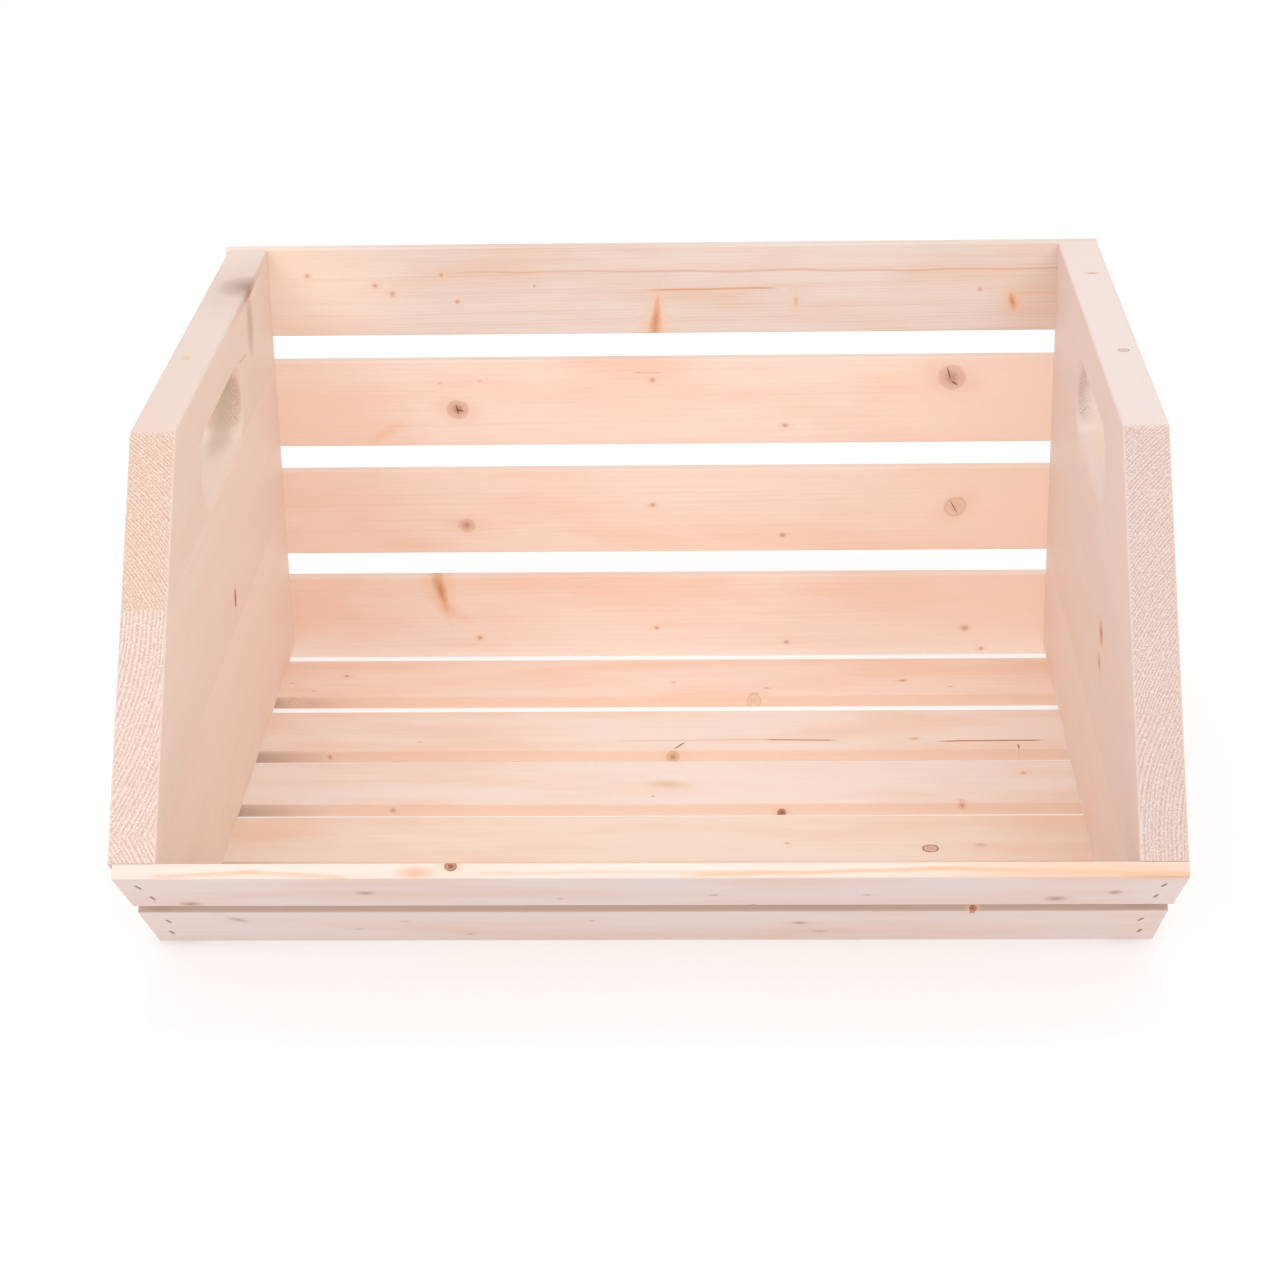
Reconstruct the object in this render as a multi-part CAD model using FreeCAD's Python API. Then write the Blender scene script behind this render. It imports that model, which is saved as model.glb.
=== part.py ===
import FreeCAD, Part
import math
import os

# Wooden apple crate with an open, sloping front, in millimetres.
# X runs along the slats, +Z is up and the open front faces -Y.
# The origin is on the ground, midway between the side panels and midway from front to back.
# Each side panel is a board glued up from three narrower ones. Slats are stapled to the
# panels' back and bottom edges, and two more close the low front, which leans outwards.

# ---- driving dimensions ----

crate_width = 400.0
panel_thickness = 18.0
panel_height = 200.0
panel_top_depth = 251.0      # top edge, from back to front
panel_nose_depth = 358.0     # furthest point forward
panel_nose_height = 68.0     # above the panel's bottom edge
panel_bottom_depth = 283.0   # bottom edge, from back to front
panel_arris = 1.2            # rounding along the panel's free edges

# heights of the two glue lines in each panel, above its bottom edge
left_glue_lines = (76.0, 144.0)
right_glue_lines = (50.0, 111.0)
board_names = ("bottom_board", "middle_board", "top_board")

hand_hole_length = 104.0
hand_hole_height = 30.0
hand_hole_depth = 149.0      # its centre, forward of the panel's back edge
hand_hole_centre_height = 161.0
hand_hole_rounding = 4.0     # round-over where a palm bears on it

slat_thickness = 6.0
slat_width = 42.0
wide_slat_width = 48.0       # the lower one of the lip
slat_arris = 0.6

back_slat_count = 4
# back edges of the floor slats, forward of the panels' back edges
floor_slat_depths = (18.0, 77.0, 131.0, 185.0, 239.0)
lip_gap = 10.0               # between the two slats of the front lip

staple_crown = 5.8
staple_leg = 24.0
wire_width = 1.25
wire_thickness = 1.0
staple_bend = 0.6            # outer radius of the bends
staple_sink = 0.4            # how far the crown is driven below the slat's face
staple_spots = (0.31, 0.70)  # places across a slat, as parts of its width
# degrees from square across the slat, with the crown's far end leaning outwards
staple_leans = (10.0, 15.0)

# how far staples are set in from the middle of the panel: the left end's two, the right's two
usual_staggers = ((0.0, 1.2), (0.0, 1.2))
upper_lip_staggers = ((3.1, 0.7), (0.0, -0.9))
lower_lip_staggers = ((0.5, 2.4), (-0.6, 1.2))

# how far a slat's left and right ends run past the panels, each at its first and last edge
flush = ((0.0, 0.0), (0.0, 0.0))
top_slat_ends = ((1.4, 1.4), (0.0, 0.0))
upper_lip_ends = ((-2.4, -2.0), (-0.9, -0.2))
lower_lip_ends = ((-2.1, -2.2), (-1.5, -1.5))

hair = 0.01                  # two places closer than this are the same

# ---- values that follow from them ----

lip_rise = panel_nose_height
lip_run = panel_nose_depth - panel_bottom_depth
lip_length = math.hypot(lip_run, lip_rise)
lip_sine = lip_rise / lip_length
lip_cosine = lip_run / lip_length
front_reach = panel_nose_depth + slat_thickness * lip_sine
depth_of_origin = (front_reach - slat_thickness) / 2

along = FreeCAD.Vector(1, 0, 0)
down = FreeCAD.Vector(0, 0, -1)
forward = FreeCAD.Vector(0, -1, 0)
lip_upward = FreeCAD.Vector(0, -lip_cosine, lip_sine)


def at(x, depth, height):
    """Point x from the middle, depth forward of the panels' backs, height above their bottoms."""
    return FreeCAD.Vector(x, depth_of_origin - depth, slat_thickness + height)


def save(node, shape):
    shape.exportStep(f"parts/{node}.step")


# ---- staples ----

def staple():
    """One staple with its crown along Y, centred on the origin, and its legs down -Z."""
    half = staple_crown / 2
    inner = half - wire_thickness
    outline = [
        (-half, 0), (half, 0), (half, -staple_leg), (inner, -staple_leg),
        (inner, -wire_thickness), (-inner, -wire_thickness), (-inner, -staple_leg),
        (-half, -staple_leg), (-half, 0),
    ]
    points = [FreeCAD.Vector(-wire_width / 2, y, z) for y, z in outline]
    body = Part.Face(Part.makePolygon(points)).extrude(FreeCAD.Vector(wire_width, 0, 0))
    corners = [FreeCAD.Vector(0, y, 0) for y in (-half, half)]
    bends = [
        edge for edge in body.Edges
        if any(edge.CenterOfMass.isEqual(corner, hair) for corner in corners)
    ]
    return body.makeFillet(staple_bend, bends)


def staple_pocket():
    """What a driven staple clears from the wood: itself, and the dent above its crown."""
    dent = Part.makeBox(
        wire_width, staple_crown, 2 * staple_sink + staple_bend,
        FreeCAD.Vector(-wire_width / 2, -staple_crown / 2, -staple_bend),
    )
    return staple().fuse(dent).removeSplitter()


def staple_places(width, staggers):
    """Placements of a slat's four staples, on a slat that lies flat with its first edge on X."""
    places = []
    middle = (crate_width - panel_thickness) / 2
    for side, set_in in zip((-1, 1), staggers):
        for spot, lean, stagger in zip(staple_spots, staple_leans, set_in):
            x = side * (middle - stagger)
            where = FreeCAD.Vector(x, spot * width, slat_thickness - staple_sink)
            turn = FreeCAD.Rotation(FreeCAD.Vector(0, 0, 1), -side * lean)
            places.append(FreeCAD.Placement(where, turn))
    return places


# ---- slats ----

def blank_slat(width, ends):
    """A slat lying flat, from Y 0 to its width, with its ends moved outwards."""
    half = crate_width / 2
    (left_first, left_last), (right_first, right_last) = ends
    corners = [
        (-half - left_first, 0), (half + right_first, 0), (half + right_last, width),
        (-half - left_last, width), (-half - left_first, 0),
    ]
    points = [FreeCAD.Vector(x, y, 0) for x, y in corners]
    board = Part.Face(Part.makePolygon(points)).extrude(FreeCAD.Vector(0, 0, slat_thickness))
    long_edges = [edge for edge in board.Edges if edge.Length > crate_width / 2]
    return board.makeFillet(slat_arris, long_edges)


def fit_slat(node, start, across, width=slat_width, ends=flush, staggers=usual_staggers):
    """Staple a slat on: its first edge runs through start, and its width lies along across.

    Returns the staples, so that the panels can be cut to take their legs.
    """
    outward = along.cross(across)
    seat = FreeCAD.Placement(start, FreeCAD.Rotation(along, across, outward, "XYZ"))
    slat = blank_slat(width, ends)
    staples = []
    for place in staple_places(width, staggers):
        pocket = staple_pocket()
        pocket.Placement = place
        slat = slat.cut(pocket)
        driven = staple()
        driven.Placement = seat.multiply(place)
        staples.append(driven)
    slat.Placement = seat
    save(node, slat)
    save(f"{node}_staples", Part.makeCompound(staples))
    return staples


def back_slats():
    """Slats up the back, from under the floor slats to the panels' top edges."""
    reach = panel_height + slat_thickness
    pitch = (reach - slat_width) / (back_slat_count - 1)
    staples = []
    for number in range(back_slat_count):
        start = at(0, 0, panel_height - number * pitch)
        ends = flush if number else top_slat_ends
        staples += fit_slat(f"back_slat_{number + 1}", start, down, ends=ends)
    return staples


def floor_slats():
    """Slats under the panels' bottom edges, numbered from the back."""
    staples = []
    for number, depth in enumerate(floor_slat_depths):
        staples += fit_slat(f"floor_slat_{number + 1}", at(0, depth, 0), forward)
    return staples


def lip_slats():
    """The two slats of the low front, whose upper edge is flush with the panels' front edges."""
    def on_lip(distance):
        """Point on the panels' front lower edge, this far down from the nose."""
        depth = panel_nose_depth - distance * lip_cosine
        return at(0, depth, panel_nose_height - distance * lip_sine)

    upper_start = on_lip(slat_width)
    lower_start = on_lip(slat_width + lip_gap + wide_slat_width)
    upper = fit_slat(
        "lip_slat_upper", upper_start, lip_upward, slat_width, upper_lip_ends, upper_lip_staggers
    )
    lower = fit_slat(
        "lip_slat_lower", lower_start, lip_upward, wide_slat_width, lower_lip_ends,
        lower_lip_staggers,
    )
    return upper + lower


# ---- side panels ----

def oblong(centre_x, length):
    """A prism of the hand hole's outline, this long and centred on a panel."""
    radius = hand_hole_height / 2
    reach = hand_hole_length / 2 - radius
    low = hand_hole_centre_height - radius
    high = hand_hole_centre_height + radius
    x = centre_x - length / 2
    back, front = hand_hole_depth - reach, hand_hole_depth + reach
    edges = [
        Part.makeLine(at(x, back, low), at(x, front, low)),
        Part.Arc(
            at(x, front, low), at(x, front + radius, hand_hole_centre_height), at(x, front, high)
        ).toShape(),
        Part.makeLine(at(x, front, high), at(x, back, high)),
        Part.Arc(
            at(x, back, high), at(x, back - radius, hand_hole_centre_height), at(x, back, low)
        ).toShape(),
    ]
    return Part.Face(Part.Wire(edges)).extrude(along * length)


def panel(side):
    """A whole side panel, on the left for side -1 and on the right for side 1."""
    centre_x = side * (crate_width - panel_thickness) / 2
    x = centre_x - panel_thickness / 2
    outline = [
        (0, 0), (panel_bottom_depth, 0), (panel_nose_depth, panel_nose_height),
        (panel_top_depth, panel_height), (0, panel_height), (0, 0),
    ]
    points = [at(x, depth, height) for depth, height in outline]
    board = Part.Face(Part.makePolygon(points)).extrude(along * panel_thickness)
    hole = oblong(centre_x, 2 * panel_thickness)
    board = board.cut(hole)
    top = at(0, 0, panel_height).z
    nose = at(0, 0, panel_nose_height).z
    top_corner = at(0, panel_top_depth, 0).y

    def on_a_face(edge):
        """True for an edge that lies on the panel's inner or outer face."""
        return edge.BoundBox.XLength < hair

    def around_hole(edge):
        return on_a_face(edge) and hole.BoundBox.isInside(edge.CenterOfMass)

    def free_edge(edge):
        """True for the edges along the top and down the sloping front, which no slat covers."""
        ends = [vertex.Point for vertex in edge.Vertexes]
        along_top = all(abs(point.z - top) < hair for point in ends)
        down_front = all(point.z > nose - hair and point.y < top_corner + hair for point in ends)
        return on_a_face(edge) and not around_hole(edge) and (along_top or down_front)

    board = board.makeFillet(hand_hole_rounding, [e for e in board.Edges if around_hole(e)])
    return board.makeFillet(panel_arris, [e for e in board.Edges if free_edge(e)])


def glued_boards(side, label, glue_lines, staples):
    """Write a panel as the three boards it is glued up from, cut to take the staples' legs."""
    whole = panel(side)
    near = [wire for wire in staples if wire.BoundBox.Center.x * side > 0]
    whole = whole.cut(Part.makeCompound(near))
    levels = (0.0,) + glue_lines + (panel_height,)
    for name, low, high in zip(board_names, levels, levels[1:]):
        corner = at(-crate_width, 2 * panel_nose_depth, low)
        slab = Part.makeBox(2 * crate_width, 3 * panel_nose_depth, high - low, corner)
        pieces = whole.common(slab).Solids
        save(f"{label}_panel_{name}", max(pieces, key=lambda piece: piece.Volume))


def main():
    os.makedirs("parts", exist_ok=True)
    staples = back_slats() + floor_slats() + lip_slats()
    glued_boards(-1, "left", left_glue_lines, staples)
    glued_boards(1, "right", right_glue_lines, staples)


main()
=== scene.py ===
import math

import bpy
from mathutils import Matrix, Quaternion, Vector


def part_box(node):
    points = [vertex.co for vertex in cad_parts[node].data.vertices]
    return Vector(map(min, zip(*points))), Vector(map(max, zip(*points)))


# Wooden apple crate of planed, unfinished spruce, with steel staples, in metres.
# Each board is painted as solid wood: its figure is a function of the place inside the board,
# so grain on the faces, rings on the ends and knots on both sides belong together.

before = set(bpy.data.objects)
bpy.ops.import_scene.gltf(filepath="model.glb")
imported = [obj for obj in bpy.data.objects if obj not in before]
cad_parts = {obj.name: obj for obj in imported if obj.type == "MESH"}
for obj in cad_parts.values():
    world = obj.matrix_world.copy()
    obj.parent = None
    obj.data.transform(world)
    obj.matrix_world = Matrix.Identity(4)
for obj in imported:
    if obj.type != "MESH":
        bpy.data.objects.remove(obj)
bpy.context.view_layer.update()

MM = 0.001

# directions of the row frame
ALONG = Vector((1, 0, 0))
UP = Vector((0, 0, 1))
FORWARD = Vector((0, -1, 0))
LIP_SLOPE = math.atan2(68, 75)      # the lip slats' lean, from their rise and run
LIP_UPWARD = Vector((0, -math.cos(LIP_SLOPE), math.sin(LIP_SLOPE)))


# ---- camera, light and floor ----

CAMERA_LENS = 85.4                  # mm
SENSOR_WIDTH = 36.0                 # mm
CAMERA_DISTANCE = 1.2796
CAMERA_AZIMUTH = math.radians(-2.05)
CAMERA_ELEVATION = math.radians(23.4)
CAMERA_ROLL = math.radians(-1.1)
CAMERA_AIM = Vector((-0.0067, -0.0018, 0.0863))

CRATE_MIDDLE = Vector((0, 0, 0.1))
ROOM_BRIGHTNESS = 0.86
# each soft light's name, place, size and power
SOFT_LIGHTS = (
    ("overhead", Vector((0.0, 0.1, 2.6)), 1.6, 8),
    ("left", Vector((-1.5, -3.3, 2.1)), 1.8, 31),
    ("right", Vector((1.5, -3.3, 2.1)), 1.8, 29),
)

FLOOR_REACH = 30
FLOOR_LEVEL = -0.2 * MM             # apart from the crate's underside, or the two would flicker
FLOOR_GREY = 0.5
FLOOR_GLOW = 0.5

WHITE = (1.0, 1.0, 1.0, 1)


def place_camera():
    """A camera in front and above, looking down into the open side of the crate."""
    camera = bpy.data.objects.new("camera", bpy.data.cameras.new("camera"))
    bpy.context.scene.collection.objects.link(camera)
    camera.data.lens = CAMERA_LENS
    camera.data.sensor_width = SENSOR_WIDTH
    level = math.cos(CAMERA_ELEVATION)
    gaze = Vector((
        math.sin(CAMERA_AZIMUTH) * level,
        math.cos(CAMERA_AZIMUTH) * level,
        -math.sin(CAMERA_ELEVATION),
    ))
    camera.location = CAMERA_AIM - gaze * CAMERA_DISTANCE
    camera.rotation_mode = "QUATERNION"
    turn = gaze.to_track_quat("-Z", "Y")
    camera.rotation_quaternion = turn @ Quaternion((0, 0, 1), CAMERA_ROLL)
    bpy.context.scene.camera = camera


def soft_light(name, location, size, power):
    """A square area light that faces the crate."""
    light = bpy.data.objects.new(name, bpy.data.lights.new(name, "AREA"))
    bpy.context.scene.collection.objects.link(light)
    light.data.size = size
    light.data.energy = power
    light.location = location
    light.rotation_mode = "QUATERNION"
    light.rotation_quaternion = (CRATE_MIDDLE - light.location).to_track_quat("-Z", "Y")


def light_studio():
    """A white room with soft light from above and in front."""
    world = bpy.data.worlds.new("studio")
    bpy.context.scene.world = world
    world.use_nodes = True
    background = world.node_tree.nodes["Background"]
    background.inputs["Color"].default_value = WHITE
    background.inputs["Strength"].default_value = ROOM_BRIGHTNESS
    for name, location, size, power in SOFT_LIGHTS:
        soft_light(name, location, size, power)
    bpy.context.scene.view_settings.view_transform = "Standard"


def lay_floor():
    """A plain white floor that runs out of sight, a hair below the crate's underside."""
    mesh = bpy.data.meshes.new("floor")
    turns = ((-1, -1), (1, -1), (1, 1), (-1, 1))
    corners = [(x * FLOOR_REACH, y * FLOOR_REACH, FLOOR_LEVEL) for x, y in turns]
    mesh.from_pydata(corners, [], [(0, 1, 2, 3)])
    floor = bpy.data.objects.new("floor", mesh)
    bpy.context.scene.collection.objects.link(floor)
    paint = bpy.data.materials.new("floor")
    paint.use_nodes = True
    shader = paint.node_tree.nodes["Principled BSDF"]
    shader.inputs["Base Color"].default_value = (FLOOR_GREY, FLOOR_GREY, FLOOR_GREY, 1)
    shader.inputs["Roughness"].default_value = 0.9
    # lit from below as a light table is, so that little shadow is left
    shader.inputs["Emission Color"].default_value = WHITE
    shader.inputs["Emission Strength"].default_value = FLOOR_GLOW
    mesh.materials.append(paint)


# ---- shader nodes ----

# a mix node's colour sockets, which share their names with its other ones
MIX_FIRST = 6
MIX_SECOND = 7
MIX_RESULT = 2


class Shader:
    """Adds nodes to a node tree. Sockets and plain values are given to it alike."""

    def __init__(self, tree):
        self.tree = tree

    def add(self, kind, **settings):
        node = self.tree.nodes.new(kind)
        for name, value in settings.items():
            setattr(node, name, value)
        return node

    def give(self, socket, value):
        """Link another socket to this one, or set its value."""
        if isinstance(value, bpy.types.NodeSocket):
            self.tree.links.new(value, socket)
        else:
            socket.default_value = value

    def math(self, operation, *values, clamp=False):
        node = self.add("ShaderNodeMath", operation=operation, use_clamp=clamp)
        for socket, value in zip(node.inputs, values):
            self.give(socket, value)
        return node.outputs["Value"]

    def vector(self, operation, *values, out="Vector"):
        node = self.add("ShaderNodeVectorMath", operation=operation)
        for socket, value in zip(node.inputs, values):
            self.give(socket, value)
        return node.outputs[out]

    def stretched(self, vector, factors, shift=(0, 0, 0)):
        """The vector times three factors, plus a shift."""
        return self.vector("MULTIPLY_ADD", vector, factors, shift)

    def split(self, vector):
        node = self.add("ShaderNodeSeparateXYZ")
        self.give(node.inputs[0], vector)
        return node.outputs["X"], node.outputs["Y"], node.outputs["Z"]

    def joined(self, x, y, z):
        node = self.add("ShaderNodeCombineXYZ")
        for socket, value in zip(node.inputs, (x, y, z)):
            self.give(socket, value)
        return node.outputs["Vector"]

    def noise(self, vector, detail=1.0, roughness=0.5, out="Fac"):
        """Noise about one unit across."""
        node = self.add("ShaderNodeTexNoise")
        self.give(node.inputs["Vector"], vector)
        node.inputs["Scale"].default_value = 1.0
        node.inputs["Detail"].default_value = detail
        node.inputs["Roughness"].default_value = roughness
        return node.outputs[out]

    def swing(self, vector, reach, detail=1.0):
        """A shift that wanders with the vector, by up to this reach each way."""
        drift = self.noise(vector, detail, out="Color")
        span = tuple(2 * size for size in reach)
        return self.vector("MULTIPLY_ADD", drift, span, tuple(-size for size in reach))

    def chance(self, value):
        """A random number for each whole number."""
        node = self.add("ShaderNodeTexWhiteNoise", noise_dimensions="1D")
        self.give(node.inputs["W"], value)
        return node.outputs["Value"]

    def step(self, value, start, end, low=0.0, high=1.0):
        """Goes smoothly from low to high while the value goes from start to end."""
        node = self.add("ShaderNodeMapRange", interpolation_type="SMOOTHSTEP")
        for socket, number in zip(node.inputs, (value, start, end, low, high)):
            self.give(socket, number)
        return node.outputs["Result"]

    def mix(self, factor, first, second, blend="MIX"):
        """A mix of two colours."""
        node = self.add("ShaderNodeMix", data_type="RGBA", blend_type=blend)
        self.give(node.inputs["Factor"], factor)
        self.give(node.inputs[MIX_FIRST], first)
        self.give(node.inputs[MIX_SECOND], second)
        return node.outputs[MIX_RESULT]


def colour(red, green, blue):
    """A display colour, in parts of 255, as the linear colour that shaders take."""
    def linear(value):
        value /= 255
        return value / 12.92 if value <= 0.04045 else ((value + 0.055) / 1.055) ** 2.4
    return (linear(red), linear(green), linear(blue), 1)


def shaded(tone, red, green, blue):
    """The colour with each of its parts made this much stronger or weaker."""
    return (tone[0] * red, tone[1] * green, tone[2] * blue, 1)


# ---- knots ----

KNOT_PARTS = ("Halo", "Core", "Rim", "Heart")
KNOT_RING_RATE = 17.0       # the knot's own rings, in radians for each of its radii
KNOT_PULL_FADE = -0.22      # how fast its pull on the board's rings fades
HALO_SQUEEZE = 0.65         # along the grain, so that the halo is longer than it is wide
LEAST_WIDENING = 0.15       # keeps a tapered knot from turning inside out


def knot_group():
    """Node group for one knot, whose place is given in radii from the knot's axis, Z."""
    tree = bpy.data.node_groups.new("knot", "ShaderNodeTree")
    socket = tree.interface.new_socket
    socket("Place", in_out="INPUT", socket_type="NodeSocketVector")
    socket("Taper", in_out="INPUT", socket_type="NodeSocketFloat")
    for name in KNOT_PARTS + ("Pull",):
        socket(name, in_out="OUTPUT", socket_type="NodeSocketFloat")
    nodes = Shader(tree)
    inlet = nodes.add("NodeGroupInput")
    outlet = nodes.add("NodeGroupOutput")
    x, y, z = nodes.split(inlet.outputs["Place"])
    widening = nodes.math("MULTIPLY_ADD", y, inlet.outputs["Taper"], 1.0)
    x = nodes.math("DIVIDE", x, nodes.math("MAXIMUM", widening, LEAST_WIDENING))
    squared = nodes.math("POWER", y, 2.0)
    radius = nodes.math("SQRT", nodes.math("ADD", nodes.math("POWER", x, 2.0), squared))
    squeezed = nodes.math("POWER", nodes.math("MULTIPLY", x, HALO_SQUEEZE), 2.0)
    halo_radius = nodes.math("SQRT", nodes.math("ADD", squeezed, squared))
    inside = nodes.step(nodes.math("ABSOLUTE", z), 0.75, 1.0, 1.0, 0.0)
    core = nodes.math("MULTIPLY", nodes.step(radius, 0.6, 1.15, 1.0, 0.0), inside)
    halo = nodes.math("MULTIPLY", nodes.step(halo_radius, 0.4, 2.3, 1.0, 0.0), inside)
    rings = nodes.math("SINE", nodes.math("MULTIPLY", radius, KNOT_RING_RATE))
    rings = nodes.math("MULTIPLY", nodes.step(rings, -0.2, 1.0), nodes.math("MULTIPLY", core, 0.5))
    edge_start = nodes.step(radius, 0.72, 0.98)
    edge = nodes.math("MULTIPLY", edge_start, nodes.step(radius, 1.0, 1.2, 1.0, 0.0))
    rim = nodes.math("MAXIMUM", edge, rings)
    heart = nodes.math("MULTIPLY", nodes.step(radius, 0.05, 0.7, 1.0, 0.0), inside)
    fade = nodes.math("MULTIPLY", nodes.math("POWER", radius, 2.0), KNOT_PULL_FADE)
    pull = nodes.math("MULTIPLY", nodes.math("EXPONENT", fade), inside)
    rim = nodes.math("MULTIPLY", rim, inside)
    for place, value in zip(outlet.inputs, (halo, core, rim, heart, pull)):
        nodes.give(place, value)
    return tree


class Knot:
    """A knot: its middle in the board's millimetres, its radii along and across the grain."""

    def __init__(self, x, y, along, across, style, z=3.0, turn=0.0, depth=40.0, axis="face",
                 strength=1.0, taper=0.0):
        self.middle = Vector((x, y, z))
        self.radii = Vector((along, across, depth))
        self.style = style
        self.strength = strength
        self.taper = taper
        quarter = {"face": 0.0, "edge": math.pi / 2}[axis]
        facing = Matrix.Rotation(quarter, 3, "X")
        self.turn = (facing @ Matrix.Rotation(math.radians(turn), 3, "Z")).to_euler()


# the colours of a knot's halo, core, rim and heart, and how strongly each shows
KNOT_STYLES = {
    "brown": ((colour(236, 196, 168), 0.5), (colour(210, 160, 134), 0.7),
              (colour(190, 132, 106), 0.3), (colour(166, 108, 84), 0.6)),
    "grey": ((colour(234, 198, 176), 0.5), (colour(210, 168, 148), 0.65),
             (colour(190, 144, 126), 0.25), (colour(170, 120, 98), 0.55)),
    "soft": ((colour(240, 190, 148), 0.5), (colour(216, 160, 112), 0.6),
             (colour(204, 132, 92), 0.1), (colour(190, 122, 74), 0.55)),
    "smoky": ((colour(216, 190, 180), 0.6), (colour(188, 156, 144), 0.65),
              (colour(170, 140, 120), 0.0), (colour(156, 116, 102), 0.6)),
    "dark": ((colour(230, 184, 150), 0.5), (colour(180, 112, 80), 0.85),
             (colour(128, 64, 42), 0.8), (colour(120, 62, 42), 0.75)),
    "faint": ((colour(240, 206, 178), 0.4), (colour(228, 190, 164), 0.45),
              (colour(208, 158, 130), 0.4), (colour(212, 166, 138), 0.2)),
    "eye": ((colour(238, 202, 176), 0.3), (colour(212, 164, 140), 0.6),
            (colour(140, 92, 70), 0.9), (colour(206, 156, 130), 0.2)),
    "pin": ((colour(238, 198, 172), 0.45), (colour(212, 164, 140), 0.5),
            (colour(200, 146, 118), 0.2), (colour(158, 108, 84), 0.5)),
}


class Streak:
    """A thin line along the grain, from one place along the board to another.

    Its width and reach are half its size in Y and Z, and rise and climb are its slopes there.
    """

    def __init__(self, y, start, end, width, tone, strength=0.6, z=0.0, reach=3.0, rise=0.0,
                 climb=0.0):
        self.y = y
        self.start = start
        self.end = end
        self.width = width
        self.tone = tone
        self.strength = strength
        self.z = z
        self.reach = reach
        self.rise = rise
        self.climb = climb


class Stain:
    """A patch of another colour: its middle, and its radii along and across the grain."""

    def __init__(self, x, y, along, across, tone, strength=0.4, z=0.0, turn=0.0, deep=12.0):
        self.middle = Vector((x, y, z))
        self.radii = Vector((along, across, deep))
        self.tone = tone
        self.strength = strength
        self.turn = (0, 0, math.radians(turn))


# ---- wood ----

GRAIN_DEPTH = 0.1 * MM
WARM_TINT = colour(252, 226, 206)

# an end's rings and dots, as parts of its own red, green and blue
EARLYWOOD = (1.08, 1.1, 1.12)
LATEWOOD = (0.85, 0.73, 0.66)
DARK_DOT = (0.84, 0.7, 0.64)
LIGHT_DOT = (1.22, 1.34, 1.42)

# how much of a patch's radius is at full strength
STAIN_SOLID = 0.1
CRACK_SOLID = 0.5

# how fast each noise changes, for each millimetre along the grain and across it
FIBRES = (0.05, 2.4, 2.4)
COARSE_BANDS = (0.012, 0.45, 0.45)
CLOUDS = (0.012, 0.05, 0.05)
END_DOTS = (0.2, 2.1, 2.1)
SLOW_BEND = (0.006, 0.03, 0.03)
KNOT_WOBBLE = (0.35, 0.35, 0.1)
STREAK_DRIFT = (0.03, 0.0, 0.0)

# millimetres that knots and streaks wander
KNOT_WANDER = (0.8, 0.8, 0)
STREAK_WANDER = (0, 1.2, 0.6)

# the growth rings
RING_WAVE = 2.0             # millimetres that they wander
RING_TILT = 0.01            # how far the grain runs out of the board, as a slope
RING_UNEVENNESS = 1.6       # in rings
KNOT_PUSH = 0.55            # how far a knot pushes them aside, as a part of its radius

# how far apart two boards with neighbouring seeds are in the noise
RING_SHIFT = (31.7, 17.3, 7.9)
FIBRE_SHIFT = (5.3, 2.9, 8.1)


class Board:
    """How one board was cut from its tree. Lengths are in millimetres.

    The board's own X runs along its grain and Y across its width, from its first edge. Z runs
    outwards from a slat's inner face, and to the left from the middle of a panel. The pith is
    the middle of the tree's rings.
    """

    def __init__(self, seed, origin, grain, across, pith, ring=2.0,
                 pale=colour(245, 222, 208), dark=colour(220, 178, 150),
                 end=colour(214, 190, 179), tint=0.5, contrast=0.6, knots=(), streaks=(),
                 stains=(), cracks=()):
        self.seed = seed
        self.origin = origin
        self.turn = Matrix((grain, across, grain.cross(across))).transposed().to_euler()
        self.pith = pith
        self.ring = ring
        self.pale = pale
        self.dark = dark
        self.end = end
        self.tint = tint
        self.contrast = contrast
        self.knots = knots
        self.streaks = streaks
        self.stains = stains
        self.cracks = cracks

    def shifted(self, steps):
        """These steps, taken as many times as the board's seed, so that its noise is its own."""
        return tuple(self.seed * step for step in steps)


def placed(nodes, point, middle, turn, size):
    """The point as seen from a middle that is turned, in units of this size."""
    mapping = nodes.add("ShaderNodeMapping", vector_type="TEXTURE")
    nodes.give(mapping.inputs["Vector"], point)
    mapping.inputs["Location"].default_value = middle
    mapping.inputs["Rotation"].default_value = turn
    mapping.inputs["Scale"].default_value = size
    return mapping.outputs["Vector"]


def board_place(nodes, board):
    """The shaded point in the board's own millimetres."""
    point = nodes.add("ShaderNodeTexCoord").outputs["Object"]
    return placed(nodes, point, board.origin, board.turn, (MM, MM, MM))


def knot_nodes(nodes, board, place, wander, group):
    """One knot group for each knot of the board."""
    found = []
    wandering = nodes.vector("ADD", place, wander)
    for knot in board.knots:
        node = nodes.add("ShaderNodeGroup", node_tree=group)
        offset = placed(nodes, wandering, knot.middle, knot.turn, knot.radii)
        nodes.give(node.inputs["Place"], offset)
        node.inputs["Taper"].default_value = knot.taper
        found.append((knot, node.outputs))
    return found


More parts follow.
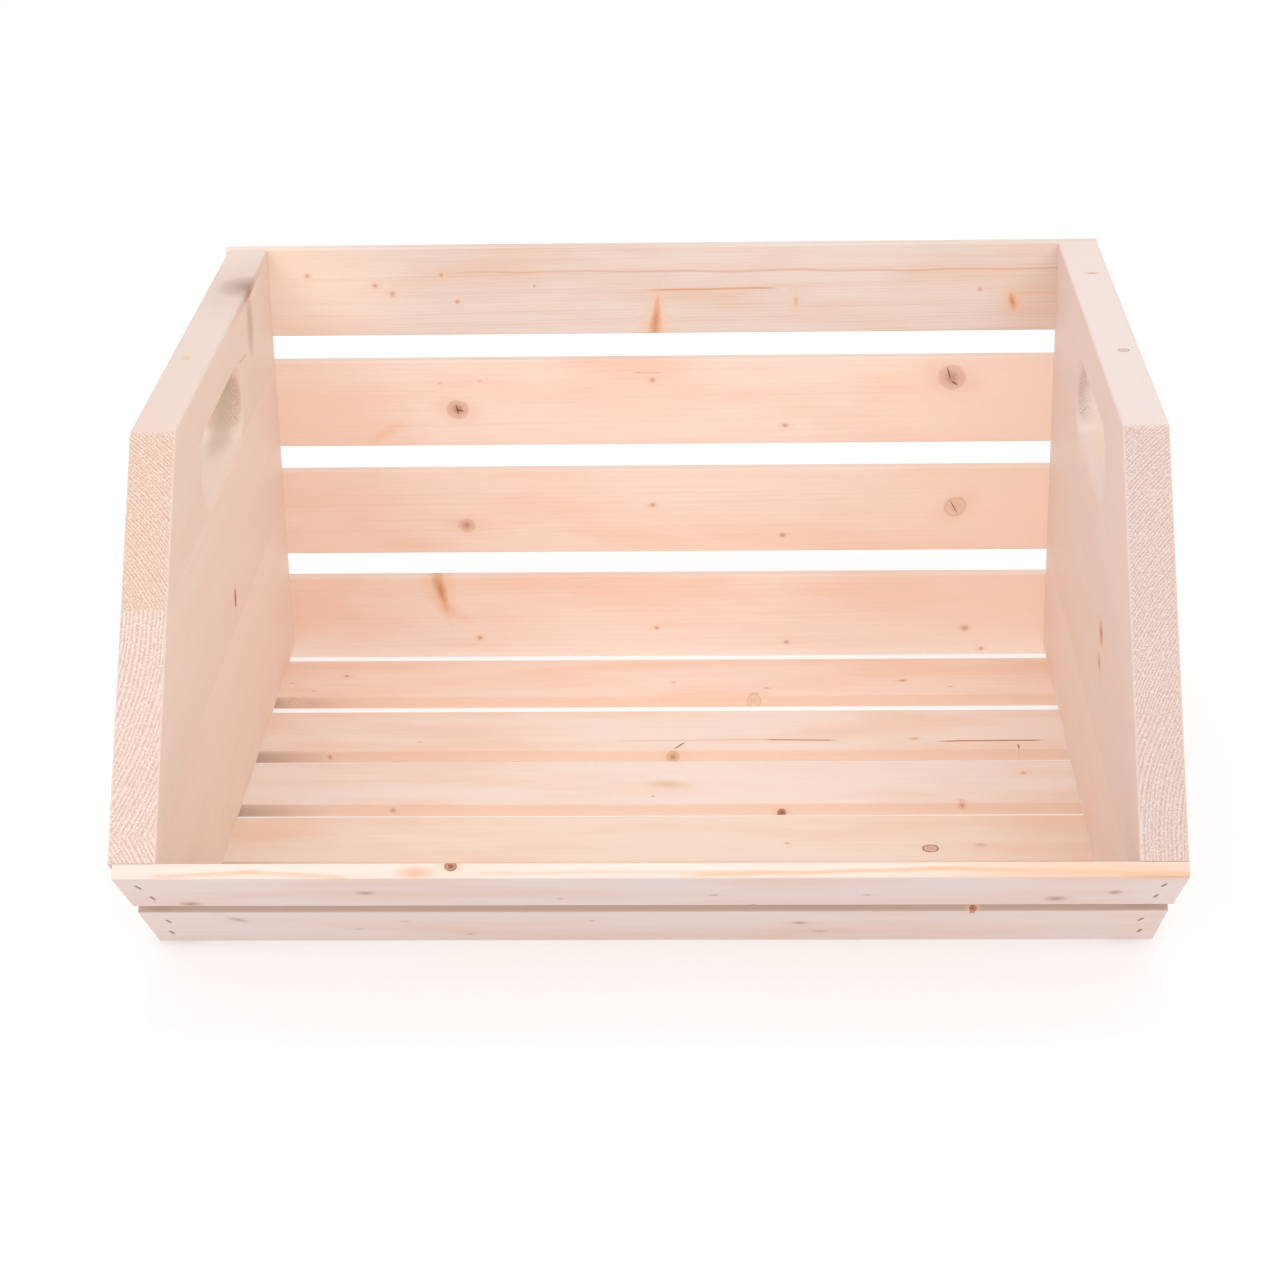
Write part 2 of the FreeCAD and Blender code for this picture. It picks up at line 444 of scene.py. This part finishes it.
def ring_figure(nodes, board, place, knots):
    """The growth rings: how much latewood shows on a face at a point, and how much on an end."""
    slow = nodes.stretched(place, SLOW_BEND, board.shifted(RING_SHIFT))
    bend = nodes.swing(slow, (0, RING_WAVE, RING_WAVE), 2.0)
    x, y, z = nodes.split(nodes.vector("ADD", place, bend))
    pith_y, pith_z = board.pith
    y = nodes.math("ADD", nodes.math("SUBTRACT", y, pith_y), nodes.math("MULTIPLY", x, RING_TILT))
    z = nodes.math("SUBTRACT", z, pith_z)
    squares = nodes.math("ADD", nodes.math("POWER", y, 2.0), nodes.math("POWER", z, 2.0))
    distance = nodes.math("SQRT", squares)
    for knot, outputs in knots:
        push = nodes.math("MULTIPLY", outputs["Pull"], KNOT_PUSH * knot.radii.y)
        distance = nodes.math("ADD", distance, push)
    count = nodes.math("DIVIDE", distance, board.ring)
    uneven = nodes.noise(nodes.joined(nodes.math("MULTIPLY", count, 0.35), board.seed * 3.1, 0.0))
    count = nodes.math("ADD", count, nodes.math("MULTIPLY", uneven, RING_UNEVENNESS))
    part = nodes.math("FRACT", count)
    # latewood builds up over a ring and then stops short, and some rings have more than others
    luck = nodes.chance(nodes.math("FLOOR", count))
    rise = nodes.math("POWER", nodes.step(part, 0.3, 0.9), 2.0)
    late = nodes.math("MULTIPLY", rise, nodes.step(part, 0.9, 1.0, 1.0, 0.0))
    strength = nodes.math("MULTIPLY_ADD", luck, 0.75, 0.25)
    stripe = nodes.math("SINE", nodes.math("MULTIPLY", count, 2 * math.pi))
    return nodes.math("MULTIPLY", late, strength), nodes.step(stripe, -0.7, 0.7)


def end_share(nodes, board):
    """How much of the surface here is cut across the grain: 0 on a face, 1 on an end."""
    normal = nodes.add("ShaderNodeNewGeometry").outputs["True Normal"]
    grain = board.turn.to_matrix().col[0]
    lined_up = nodes.vector("DOT_PRODUCT", normal, tuple(grain), out="Value")
    return nodes.step(nodes.math("ABSOLUTE", lined_up), 0.35, 0.9)


def face_tone(nodes, board, late, fibres, coarse, cloud):
    """The colour of a planed face."""
    figure = nodes.math("MULTIPLY", late, board.contrast)
    bands = 0.02 + 0.4 * board.contrast
    figure = nodes.math("ADD", figure, nodes.step(coarse, 0.35, 0.75, -0.3 * bands, bands))
    figure = nodes.math("ADD", figure, nodes.step(fibres, 0.3, 0.7, -0.05, 0.05), clamp=True)
    tone = nodes.mix(figure, board.pale, board.dark)
    warm = nodes.math("MULTIPLY", nodes.step(cloud, 0.4, 0.75), board.tint)
    return nodes.mix(warm, tone, nodes.mix(1.0, tone, WARM_TINT, "MULTIPLY"))


def end_tone(nodes, board, stripe, dots):
    """The colour of a sawn end: a stripe for each ring, broken up by dark and light dots."""
    tone = nodes.mix(stripe, shaded(board.end, *EARLYWOOD), shaded(board.end, *LATEWOOD))
    dark_dots = nodes.step(dots, 0.38, 0.48, 0.6, 0.0)
    light_dots = nodes.step(dots, 0.5, 0.6, 0.0, 0.85)
    tone = nodes.mix(dark_dots, tone, shaded(board.end, *DARK_DOT))
    return nodes.mix(light_dots, tone, shaded(board.end, *LIGHT_DOT))


def patched(nodes, place, tone, patches, solid):
    """The tone with patches over it, each fading out from this part of its radius on."""
    for patch in patches:
        offset = placed(nodes, place, patch.middle, patch.turn, patch.radii)
        radius = nodes.vector("LENGTH", offset, out="Value")
        mask = nodes.step(radius, solid, 1.0, patch.strength, 0.0)
        tone = nodes.mix(mask, tone, patch.tone)
    return tone


def knotted(nodes, tone, knots):
    """The tone with the knots over it."""
    for knot, outputs in knots:
        looks = KNOT_STYLES[knot.style]
        for part, (part_colour, share) in zip(KNOT_PARTS, looks):
            strength = nodes.math("MULTIPLY", outputs[part], share * knot.strength)
            tone = nodes.mix(strength, tone, part_colour)
    return tone


def relief(nodes, late, fibres, end_dots):
    """The bump of raised latewood and fibres, and of a sawn end's rough dots."""
    height = nodes.math("MULTIPLY_ADD", late, 0.5, nodes.math("MULTIPLY", fibres, 0.9))
    height = nodes.math("ADD", height, nodes.math("MULTIPLY", end_dots, 2.0))
    bump = nodes.add("ShaderNodeBump")
    bump.inputs["Strength"].default_value = 0.35
    bump.inputs["Distance"].default_value = GRAIN_DEPTH
    nodes.give(bump.inputs["Height"], height)
    return bump.outputs["Normal"]


def streak_mask(nodes, board, place, streak):
    """How strongly a streak shows at a point."""
    shift = (board.seed * 2.3 + streak.y, 0, 0)
    wander = nodes.swing(nodes.stretched(place, STREAK_DRIFT, shift), STREAK_WANDER)
    x, y, z = nodes.split(nodes.vector("ADD", place, wander))
    middle = (streak.start + streak.end) / 2
    half = (streak.end - streak.start) / 2
    past = nodes.math("SUBTRACT", x, middle)
    y = nodes.math("SUBTRACT", y, nodes.math("MULTIPLY_ADD", past, streak.rise, streak.y))
    z = nodes.math("SUBTRACT", z, nodes.math("MULTIPLY_ADD", past, streak.climb, streak.z))
    line = nodes.step(nodes.math("ABSOLUTE", y), 0.2 * streak.width, streak.width, 1.0, 0.0)
    length = nodes.step(nodes.math("ABSOLUTE", past), 0.7 * half, half, 1.0, 0.0)
    near = nodes.step(nodes.math("ABSOLUTE", z), 0.4 * streak.reach, streak.reach, 1.0, 0.0)
    mask = nodes.math("MULTIPLY", nodes.math("MULTIPLY", line, length), near)
    return nodes.math("MULTIPLY", mask, streak.strength)


def wood_material(name, board, group):
    """Spruce for one board."""
    material = bpy.data.materials.new(name)
    material.use_nodes = True
    nodes = Shader(material.node_tree)
    shader = material.node_tree.nodes["Principled BSDF"]

    # knots are slightly out of round, because the place is moved about before they are drawn
    place = board_place(nodes, board)
    wobble = nodes.stretched(place, KNOT_WOBBLE, (board.seed, 0, 0))
    wander = nodes.swing(wobble, KNOT_WANDER, 2.0)
    knots = knot_nodes(nodes, board, place, wander, group)
    late, stripe = ring_figure(nodes, board, place, knots)
    ends = end_share(nodes, board)

    # fibres are long and thin, so they are streaks on a face and dots on an end
    shift = board.shifted(FIBRE_SHIFT)
    fibres = nodes.noise(nodes.stretched(place, FIBRES, shift), 3.0, 0.65)
    coarse = nodes.noise(nodes.stretched(place, COARSE_BANDS, shift), 2.0, 0.6)
    cloud = nodes.noise(nodes.stretched(place, CLOUDS, shift), 2.0, 0.5)
    dots = nodes.noise(nodes.stretched(place, END_DOTS, shift), 2.0, 0.75)

    tone = face_tone(nodes, board, late, fibres, coarse, cloud)
    tone = nodes.mix(ends, tone, end_tone(nodes, board, stripe, dots))
    tone = patched(nodes, place, tone, board.stains, STAIN_SOLID)
    for streak in board.streaks:
        tone = nodes.mix(streak_mask(nodes, board, place, streak), tone, streak.tone)
    tone = knotted(nodes, tone, knots)
    tone = patched(nodes, place, tone, board.cracks, CRACK_SOLID)

    # latewood is glossier than the rest, and a sawn end is duller than a face
    rough = nodes.math("MULTIPLY_ADD", late, -0.1, 0.5)
    rough = nodes.math("MULTIPLY_ADD", fibres, 0.16, rough)
    rough = nodes.math("MULTIPLY_ADD", ends, 0.2, rough)
    normal = relief(nodes, late, fibres, nodes.math("MULTIPLY", dots, ends))
    nodes.give(shader.inputs["Base Color"], tone)
    nodes.give(shader.inputs["Roughness"], rough)
    nodes.give(shader.inputs["Normal"], normal)
    shader.inputs["Specular IOR Level"].default_value = 0.3
    return material


GRIME_SCALE = 900.0     # specks in a metre


def steel_material():
    """Galvanised staple wire, dulled and lightly scratched."""
    material = bpy.data.materials.new("staple_steel")
    material.use_nodes = True
    nodes = Shader(material.node_tree)
    shader = material.node_tree.nodes["Principled BSDF"]
    point = nodes.add("ShaderNodeTexCoord").outputs["Object"]
    grime = nodes.noise(nodes.stretched(point, (GRIME_SCALE, GRIME_SCALE, GRIME_SCALE)), 2.0)
    tone = nodes.mix(grime, colour(150, 126, 108), colour(196, 178, 162))
    nodes.give(shader.inputs["Base Color"], tone)
    nodes.give(shader.inputs["Roughness"], nodes.math("MULTIPLY_ADD", grime, 0.3, 0.3))
    shader.inputs["Metallic"].default_value = 1.0
    return material


# ---- the crate's boards ----

def back_origin(node):
    """The middle of a back slat's upper edge, on its inner face."""
    low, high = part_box(node)
    return Vector((0, low.y, high.z))


def floor_origin(node):
    """The middle of a floor slat's back edge, on its upper face."""
    low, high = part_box(node)
    return Vector((0, high.y, high.z))


def lip_origin(node, width):
    """The middle of a lip slat's lower edge, on its inner face."""
    low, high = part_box(node)
    return Vector((0, high.y, high.z - width * MM * math.sin(LIP_SLOPE)))


def panel_origin(side):
    """The back bottom corner of a side panel, in the middle of its thickness."""
    low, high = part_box(f"{side}_panel_bottom_board")
    return Vector(((low.x + high.x) / 2, high.y, low.z))


# tones of the marks on the boards
DARK_LINE = colour(214, 150, 108)
ORANGE = colour(236, 176, 126)
BRIGHT = colour(255, 230, 212)
RESIN = colour(184, 100, 62)
SPLIT = colour(92, 54, 40)
CREAM = colour(243, 222, 208)
AMBER = colour(232, 184, 152)
# painted shadow for the lower lip slat's top edge, under the upper slat
GAP_SHADOW = colour(176, 148, 128)
# painted shade for the recessed wall of the left panel's hand hole
LEFT_HOLE_SHADE = colour(190, 168, 148)
RIGHT_HOLE = colour(234, 212, 198)


def edge_knot(x, width, radius, style, z=3.0):
    """A small knot that comes out of a slat's last edge."""
    return Knot(x, width, radius, radius, style, z=z, axis="edge", depth=4)


def crack(x, y, long, wide, turn):
    """A thin dark check in a knot, turned from the grain by this many degrees."""
    return Stain(x, y, long, wide, SPLIT, 0.9, turn=turn, deep=40)


def front_edge(left_shade):
    """A floor slat's front edge: rawer than its face, with painted shade towards the left panel."""
    raw = Stain(0, 42.3, 700, 1.8, colour(238, 196, 168), 0.7, z=4, deep=9)
    # painted shade: the edge darkens towards the left panel, which shades it
    panel_shadow = Stain(-205, 42.3, 70, 1.8, colour(160, 130, 114), left_shade, z=4, deep=9)
    return raw, panel_shadow


def hole_end(tone):
    """One tone over the wall at the back of a hand hole: painted shade in the left panel's recessed
    hole, a plain pale tone over the end grain in the right one.
    """
    return Stain(92, 161, 64, 40, tone, 0.85, deep=9)


def end_light_and_tone(side, reach, strength):
    """Paints a back slat paler towards its left end, for side -1, or its right end, for side 1:
    painted light on the lower slats, the wood's own paler tone on the top one.
    """
    return Stain(side * 185, 21, reach, 60, BRIGHT, strength)


def back_boards():
    """The slats up the back, from the top one down."""
    boards = {}

    def back(number, **cut):
        node = f"back_slat_{number}"
        boards[node] = Board(number, back_origin(node), ALONG, -UP, **cut)

    back(1, pith=(-45, -30), ring=1.5, contrast=0.42, pale=colour(228, 213, 204), knots=(
        Knot(-3, 36, 2.6, 13, "soft", turn=6, taper=0.7),
        Knot(-164, 13, 1.2, 1.1, "pin"), Knot(-133, 18, 1.3, 1.2, "pin"),
        Knot(-125, 22, 1.5, 1.4, "pin"), Knot(-102, 13, 1.0, 1.3, "pin"),
        Knot(-95, 26, 1.4, 1.2, "pin"), Knot(-59, 18.5, 0.7, 0.7, "pin"),
        Knot(62, 27, 1.2, 3.2, "soft", strength=0.5), Knot(147, 22, 1.2, 1.1, "pin"),
        Knot(162, 28, 1.7, 4.2, "soft", turn=-14),
    ), streaks=(
        Streak(20.7, -9, 56, 0.8, DARK_LINE, 0.75),
        Streak(12.2, -130, 290, 0.7, DARK_LINE, 0.5),
        Streak(24.0, 160, 230, 0.8, ORANGE, 0.5),
        Streak(15.5, -172, -90, 0.8, ORANGE, 0.2),
        Streak(22.0, -122, 10, 0.5, DARK_LINE, 0.15),
    ), stains=(
        Stain(175, 28, 34, 22, ORANGE, 0.2), Stain(-168, 17, 9, 3, ORANGE, 0.3),
        end_light_and_tone(-1, 90, 0.6),
    ))
    # the lower slats' paler ends are painted light
    back(2, pith=(80, -30), ring=2.3, contrast=0.14, knots=(
        Knot(-97, 24, 4.8, 4.2, "brown", turn=12),
        Knot(135, 10, 6.0, 5.6, "grey", turn=20),
        Knot(-5, 10, 1.2, 1.1, "pin"), Knot(57, 33, 1.6, 1.2, "pin"),
        Knot(-105, 11, 0.9, 0.6, "pin", strength=0.6),
        Knot(-86, 10, 0.9, 0.5, "pin", strength=0.5),
    ), streaks=(
        Streak(6.5, -14, 0, 0.5, DARK_LINE, 0.5),
    ), stains=(
        Stain(-131, 35, 17, 4, ORANGE, 0.35, turn=-30), Stain(152, 5, 16, 6, ORANGE, 0.15),
        end_light_and_tone(1, 110, 0.8), end_light_and_tone(-1, 80, 0.5),
    ), cracks=(
        crack(-97.2, 24, 3.2, 0.35, 78), crack(-96, 24.5, 2.2, 0.5, 10),
        crack(133.5, 8, 3.6, 0.4, 74), crack(136.2, 12.8, 2.1, 0.5, 35),
    ))
    back(3, pith=(84, -36), ring=2.2, contrast=0.16, knots=(
        Knot(-95, 28, 3.8, 3.2, "grey"),
        Knot(138, 20, 5.0, 4.4, "faint", turn=-30),
        Knot(-6, 18, 1.4, 1.2, "pin"), Knot(56, 34, 1.6, 1.2, "pin"),
    ), stains=(
        Stain(-120, 38, 30, 5, ORANGE, 0.25), end_light_and_tone(1, 110, 0.9),
        end_light_and_tone(-1, 70, 0.3),
    ), cracks=(
        crack(137.2, 20, 4.5, 0.3, 62),
    ))
    back(4, pith=(90, -42), ring=2.2, contrast=0.14, knots=(
        Knot(-109, 7, 2.8, 11, "soft", turn=-14, taper=-0.4),
        Knot(-91, 32, 1.4, 1.3, "pin"), Knot(-5, 27, 1.3, 1.1, "pin"),
        Knot(58, 35, 1.3, 1.1, "pin"), Knot(144, 28, 1.7, 1.4, "pin"),
        Knot(152, 39, 1.3, 1.0, "pin"),
    ), stains=(
        Stain(-104, 18, 16, 5, ORANGE, 0.3, turn=30), end_light_and_tone(1, 110, 0.8),
        end_light_and_tone(-1, 70, 0.3),
    ))
    return boards


def floor_boards():
    """The slats under the panels, from the back one forward."""
    boards = {}

    def floor(number, **cut):
        node = f"floor_slat_{number}"
        boards[node] = Board(number + 10, floor_origin(node), ALONG, FORWARD, **cut)

    floor(1, pith=(-50, 40), ring=1.9, contrast=0.18, knots=(
        Knot(-152, 18, 1.5, 1.3, "pin"), Knot(-177, 26, 1.0, 0.8, "pin", strength=0.6),
        Knot(-166, 35, 1.2, 0.9, "pin", strength=0.5), Knot(4, 27, 1.0, 0.9, "pin"),
        Knot(48, 34, 1.4, 0.7, "pin"), Knot(112, 26, 1.9, 1.5, "pin"),
        Knot(134, 33, 1.3, 0.6, "pin"), edge_knot(42, 42, 3.2, "faint"),
        edge_knot(-174, 42, 2.4, "faint"),
    ), stains=front_edge(0.75))
    floor(2, pith=(95, 45), ring=2.4, contrast=0.12, pale=colour(240, 223, 212), knots=(
        edge_knot(5, 42, 2.8, "brown", z=3.5), edge_knot(-150, 42, 1.4, "pin"),
        Knot(-110, 33, 1.0, 0.7, "pin"), Knot(114, 31, 1.8, 1.5, "pin"),
    ), streaks=(
        Streak(32, -25, 55, 0.8, DARK_LINE, 0.5), Streak(32, 45, 80, 0.9, RESIN, 0.95),
        Streak(33.5, 122, 174, 1.0, RESIN, 0.95, rise=-0.03),
    ), stains=front_edge(0.8), cracks=(
        crack(8, 37.5, 5.4, 0.55, -57), crack(160.2, 39.5, 3.0, 0.45, 87),
    ))
    floor(3, pith=(-45, 50), ring=2.2, contrast=0.1, pale=colour(240, 224, 214), knots=(
        Knot(160, 13, 1.5, 1.3, "pin"), Knot(-3, 35, 0.9, 0.7, "pin"),
        edge_knot(-116, 42, 1.5, "pin"), edge_knot(131, 42, 1.8, "pin", z=1.5),
        edge_knot(53, 42, 1.7, "dark", z=4.6),
    ), stains=front_edge(0.75) + (
        Stain(4, 23, 14, 6, colour(222, 190, 150), 0.7, turn=8),
    ))
    floor(4, pith=(90, 40), ring=2.0, contrast=0.14, pale=colour(240, 220, 204), knots=(
        Knot(115, 31, 3.2, 3.2, "eye"), Knot(55, 26, 1.0, 0.9, "pin"),
        Knot(185, 26, 0.8, 0.8, "pin"), Knot(136, 28, 3.0, 2.2, "smoky", strength=0.4),
    ), stains=front_edge(0.6))
    floor(5, pith=(-60, 45), ring=2.1, contrast=0.16, knots=(
        Knot(-60, 20, 3.0, 2.6, "grey"),
    ), stains=front_edge(0.5))
    return boards


def lip_boards():
    """The two slats of the low front."""
    boards = {}

    def lip(name, seed, width, **cut):
        node = f"lip_slat_{name}"
        boards[node] = Board(seed, lip_origin(node, width), ALONG, LIP_UPWARD, **cut)

    # painted shade: both lip slats' pale tones are darker and greyer than the other boards'; the
    # cream stain on the upper slat's top edge keeps that lit edge at the wood's own tone
    lip("upper", 21, 42, pith=(-40, -30), ring=1.3, contrast=0.32, pale=colour(220, 203, 199),
        knots=(
        Knot(-106, 20.3, 4.0, 3.4, "smoky", z=6), Knot(-175, 4, 4.6, 4.0, "smoky", z=6),
        Knot(-33, 10.7, 1.2, 1.2, "smoky", z=6), Knot(25, 16, 2.0, 1.4, "smoky", z=6),
        Knot(83, 15.6, 2.2, 1.4, "smoky", z=6, strength=0.7), Knot(40, 1, 1.2, 1.0, "smoky", z=6),
        Knot(154, 9.4, 5.0, 4.6, "smoky", z=6), Knot(175, 19, 3.0, 3.6, "smoky", z=6),
        Knot(-72, 42, 2.2, 1.7, "dark", z=1.0, axis="edge", depth=6),
    ), stains=(
        Stain(0, 43, 900, 2.6, CREAM, 0.9, z=2, deep=9),
        Stain(-85, 42.5, 11, 3, colour(218, 172, 142), 0.8, z=3.4, deep=3.8),
        Stain(165, 42.5, 95, 3, colour(226, 186, 160), 0.85, z=4, deep=9),
        Stain(192, 42.5, 26, 3, colour(212, 158, 122), 0.8, z=6, deep=3.2),
    ), streaks=(
        Streak(42, -186, -140, 2.5, AMBER, 0.6, z=4.0, reach=1.1, climb=-0.05),
        Streak(42, -154, -108, 2.5, AMBER, 0.6, z=4.0, reach=1.1, climb=0.05),
        Streak(42, -72, 60, 2.5, AMBER, 0.5, z=3.4, reach=0.9),
        Streak(42, 8, 128, 2.5, AMBER, 0.8, z=3.4, reach=1.0, climb=-0.024),
        Streak(42, 92, 212, 2.5, AMBER, 0.8, z=3.4, reach=1.1, climb=0.024),
    ))
    lip("lower", 22, 48, pith=(90, -35), ring=1.5, contrast=0.3, pale=colour(222, 206, 201),
        knots=(
        Knot(-161, 36, 2.6, 5.5, "smoky", z=6, turn=40, strength=0.7),
        Knot(-115, 20, 2.6, 0.9, "smoky", z=6), Knot(-96, 33, 2.6, 1.0, "smoky", z=6, strength=0.6),
        Knot(-72, 11, 1.4, 1.3, "smoky", z=6), Knot(-23, 33, 1.3, 1.1, "smoky", z=6),
        Knot(58, 29, 3.4, 2.4, "smoky", z=6), Knot(66, 15, 3.6, 1.5, "smoky", z=6, strength=0.8),
        Knot(80, 0.5, 2.2, 1.6, "smoky", z=6), edge_knot(124, 48, 1.3, "dark", z=4.6),
    ), stains=(
        # painted shadow: this top edge lies in the shade of the upper slat across the gap
        Stain(0, 48.4, 900, 1.4, GAP_SHADOW, 1.0, z=4, deep=30),
    ))
    return boards


def panel_boards():
    """The three boards of each side panel, which share one frame of millimetres."""
    boards = {}

    def panel(side, name, seed, **cut):
        node = f"{side}_panel_{name}_board"
        boards[node] = Board(seed, panel_origin(side), FORWARD, UP, **cut)

    panel("left", "bottom", 31, pith=(20, 70), ring=1.5, contrast=0.09, tint=0.15,
          pale=colour(243, 221, 206))
    panel("left", "middle", 32, pith=(150, 95), ring=1.6, contrast=0.09, tint=0.15,
          pale=colour(240, 218, 204), knots=(
        Knot(150, 88, 1.8, 3.6, "dark", z=-9, turn=10, depth=12),
    ), stains=(
        hole_end(LEFT_HOLE_SHADE),
    ))
    panel("left", "top", 33, pith=(85, 80), ring=1.05, contrast=0.09, tint=0.15,
          pale=colour(237, 215, 201), end=colour(212, 183, 166), knots=(
        Knot(59, 200, 17, 15, "smoky", z=-10, axis="edge", depth=5),
        Knot(161, 200, 2.4, 1.8, "faint", z=2, axis="edge", depth=8),
    ), stains=(
        Stain(62, 184, 12, 22, colour(186, 156, 138), 0.6, z=-9),
        Stain(150, 201, 300, 3, colour(222, 202, 192), 0.8, deep=40), hole_end(LEFT_HOLE_SHADE),
    ), streaks=(
        Streak(176, 78, 98, 0.7, DARK_LINE, 0.6, z=-9, rise=0.1),
    ))
    panel("right", "bottom", 34, pith=(80, 60), ring=1.6, contrast=0.09, tint=0.15,
          pale=colour(239, 217, 206))
    panel("right", "middle", 35, pith=(75, -60), ring=1.5, contrast=0.09, tint=0.15,
          pale=colour(235, 213, 203), end=colour(203, 181, 172), knots=(
        Knot(216, 98, 6.0, 4.5, "brown", z=9), Knot(214, 84, 4.5, 3.0, "grey", z=9),
    ), stains=(
        hole_end(RIGHT_HOLE),
    ))
    panel("right", "top", 36, pith=(70, -90), ring=1.05, contrast=0.09, tint=0.15,
          pale=colour(234, 213, 204), end=colour(203, 181, 172), knots=(
        Knot(160, 200, 1.9, 2.2, "eye", z=-2, axis="edge", depth=8, strength=0.7),
        Knot(50, 200, 1.2, 3.0, "pin", z=-1, axis="edge", depth=8),
    ), stains=(
        Stain(150, 201, 300, 3, colour(231, 217, 213), 0.8, deep=40), hole_end(RIGHT_HOLE),
        Stain(128, 147, 34, 7, colour(246, 222, 190), 0.5, deep=9),
    ))
    return boards


def crate_boards():
    """Every board of the crate, by its node's name."""
    return {**back_boards(), **floor_boards(), **lip_boards(), **panel_boards()}


def dress(node, material):
    """Put a material on every slot of a CAD node."""
    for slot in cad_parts[node].material_slots:
        slot.material = material


def main():
    place_camera()
    light_studio()
    lay_floor()
    group = knot_group()
    for node, board in crate_boards().items():
        dress(node, wood_material(node, board, group))
    steel = steel_material()
    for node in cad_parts:
        if node.endswith("_staples"):
            dress(node, steel)


main()
